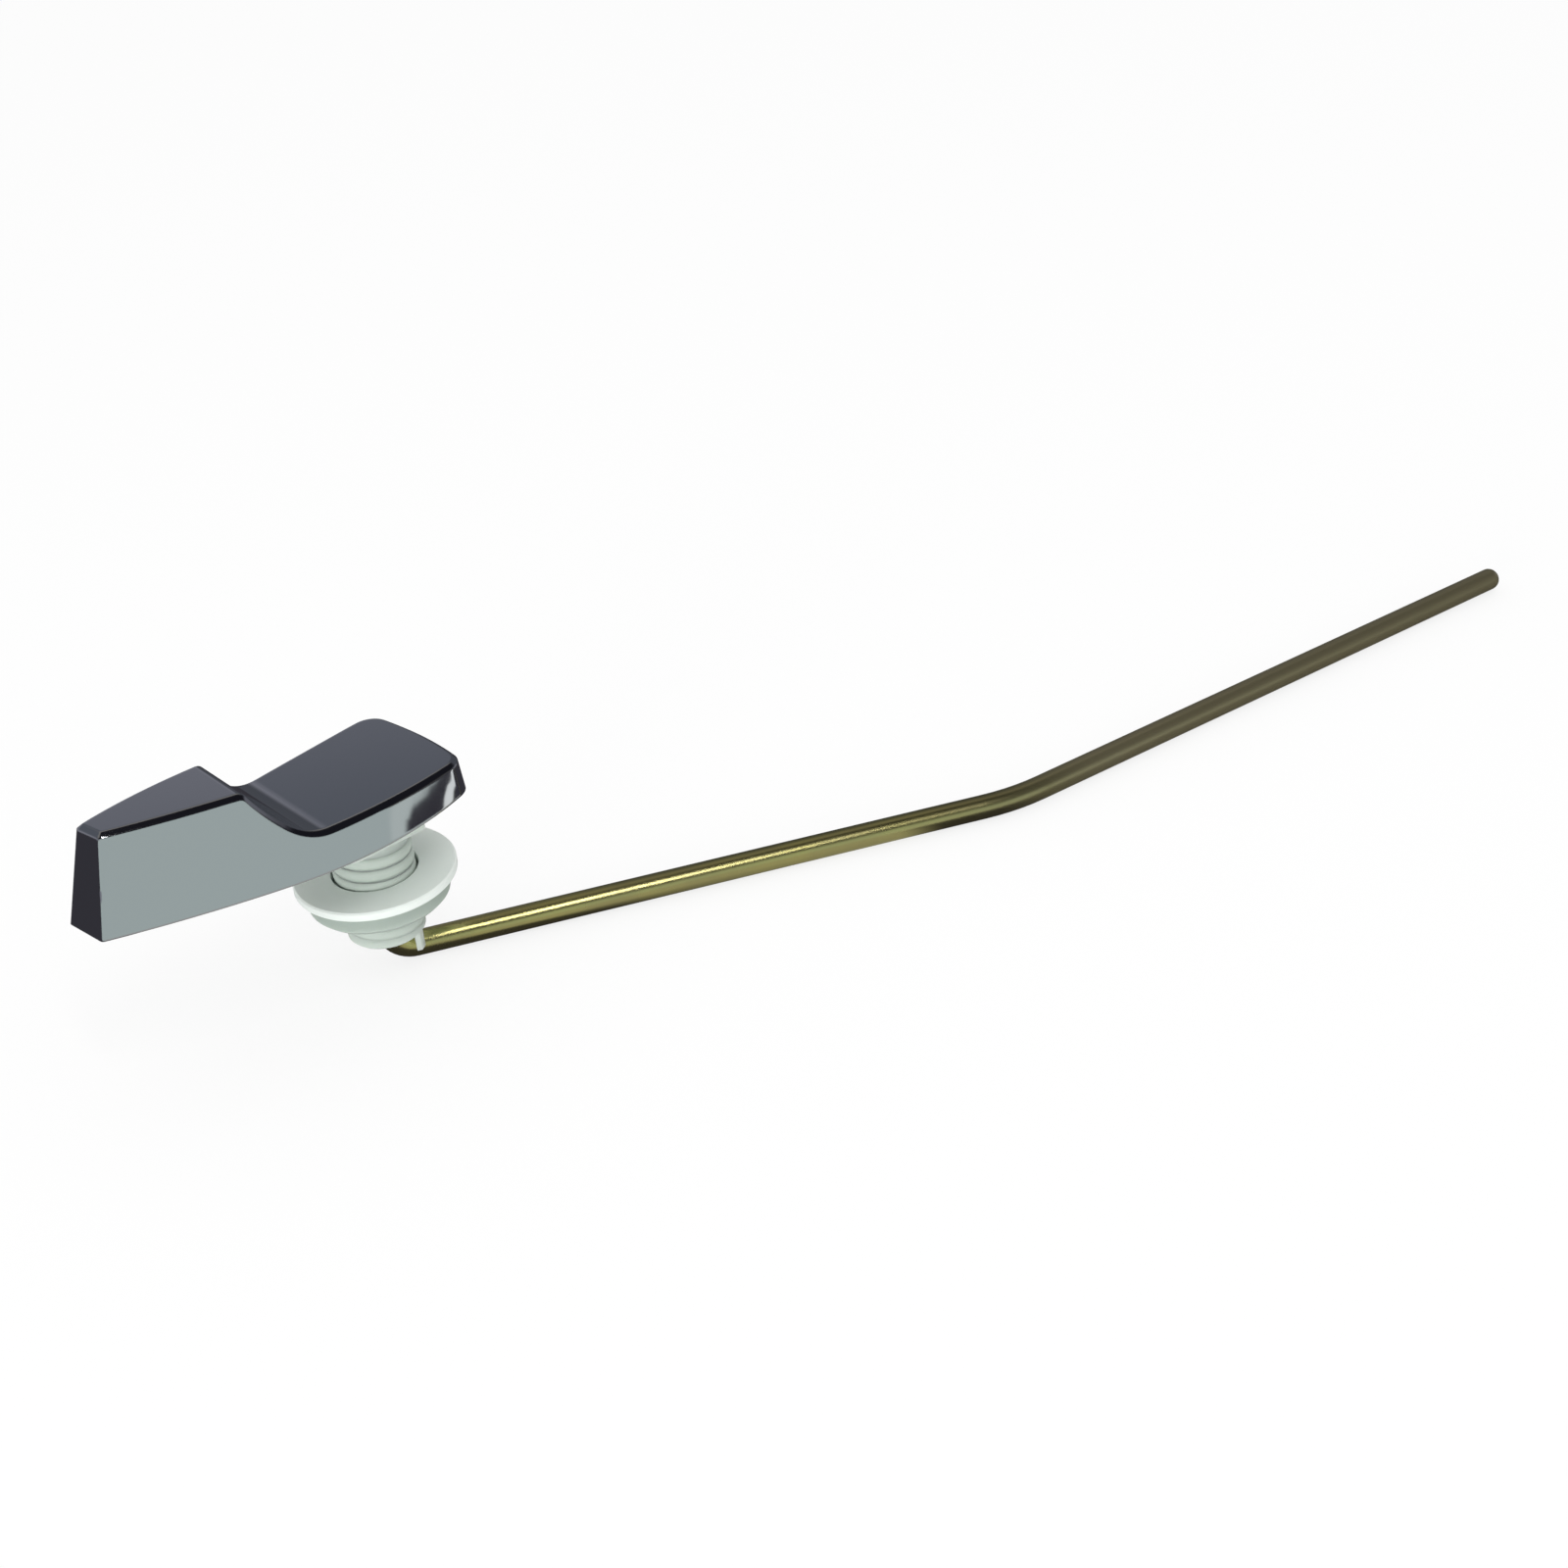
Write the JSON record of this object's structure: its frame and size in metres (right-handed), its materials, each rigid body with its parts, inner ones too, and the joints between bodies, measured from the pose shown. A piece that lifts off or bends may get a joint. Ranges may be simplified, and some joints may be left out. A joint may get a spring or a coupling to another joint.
{
  "type": "cistern lever",
  "caption": "Front-mount cistern flush lever: swooped chrome handle on a bent brass arm that turns in a nylon bush, held in the wall by a washer and lock nut.",
  "frame": {"origin": "on the pivot axis, in the plane where the bush's head bears on the cistern's front wall", "axes": "+Z out of the cistern along the pivot, +X along the handle from paddle to hub, +Y up in use"},
  "size_m": [0.3036, 0.091, 0.0522],
  "materials": {
    "handle_chrome": "bright chrome plate on a zinc casting",
    "arm_brass": "drawn rod, slightly tarnished",
    "bush_nylon": "natural nylon, moulded, slightly translucent",
    "nut_nylon": "natural nylon, moulded, slightly translucent"
  },
  "bodies": {
    "bush": {"bush": "bush_nylon"},
    "lever": {"handle": "handle_chrome", "arm_rod": "arm_brass"},
    "washer": {"washer": "nut_nylon"},
    "nut": {"lock_nut": "nut_nylon"}
  },
  "joints": [
    {"name": "lever_turn", "type": "hinge", "parent": "bush", "child": "lever", "pos_m": [0, 0, 0], "axis": [0, 0, 1], "range_deg": [0, 40]},
    {"name": "washer_travel", "type": "slide", "parent": "bush", "child": "washer", "axis": [0, 0, 1], "range_m": [-0.0061, 0.0076]},
    {"name": "nut_turn", "type": "hinge", "parent": "washer", "child": "nut", "pos_m": [0, 0, 0], "axis": [0, 0, 1], "range_deg": [-1080, 864]}
  ],
  "couplings": [
    {"joint": "washer_travel", "follows": "nut_turn", "m_per_rad": -0.00039789}
  ]
}
